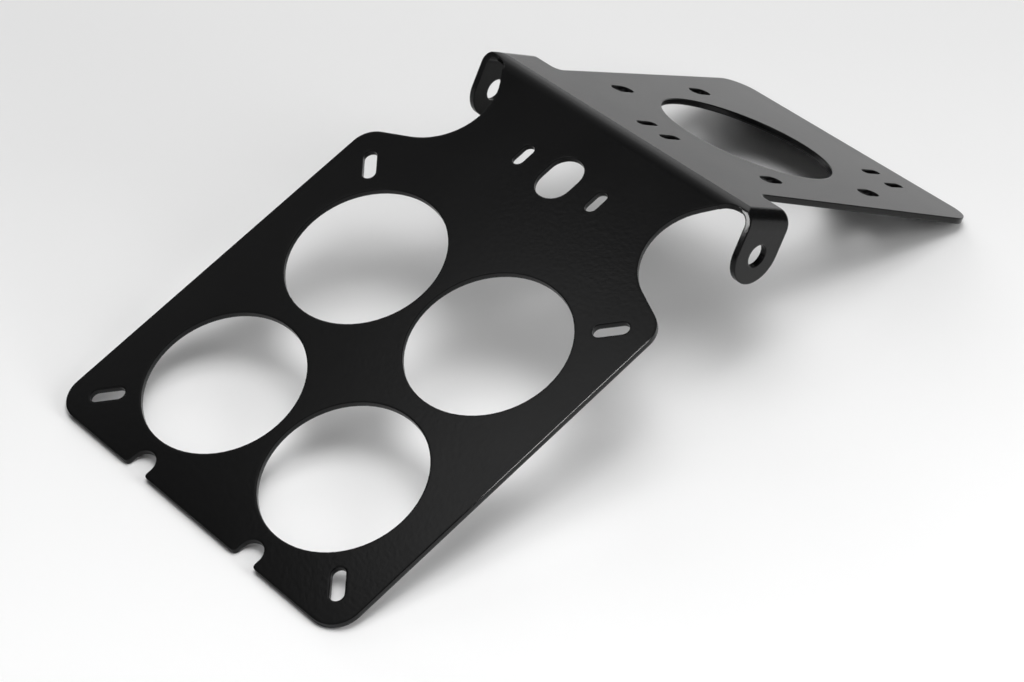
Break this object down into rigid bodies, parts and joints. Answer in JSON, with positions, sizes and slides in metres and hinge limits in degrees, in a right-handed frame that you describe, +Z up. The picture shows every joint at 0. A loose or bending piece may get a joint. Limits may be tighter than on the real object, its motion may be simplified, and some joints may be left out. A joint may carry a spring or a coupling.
{
  "type": "tail tidy",
  "caption": "Folded sheet bracket that carries a motorbike's number plate under its tail, with a perforated square panel, a slotted tail flange and turned-down indicator ears.",
  "frame": {"origin": "centre of the footprint, on the floor that the panel's lower edge and the flange's rear edge rest on", "axes": "+X to the right across the panel, +Y from the plate panel's lower edge towards the tail flange's rear edge, +Z up from the floor to the fold"},
  "size_m": [0.16, 0.3362, 0.0725],
  "materials": {
    "black_powder_coat": "satin black powder coat with a very fine texture"
  },
  "bodies": {
    "root": {"folded_bracket": "black_powder_coat"}
  },
  "joints": []
}
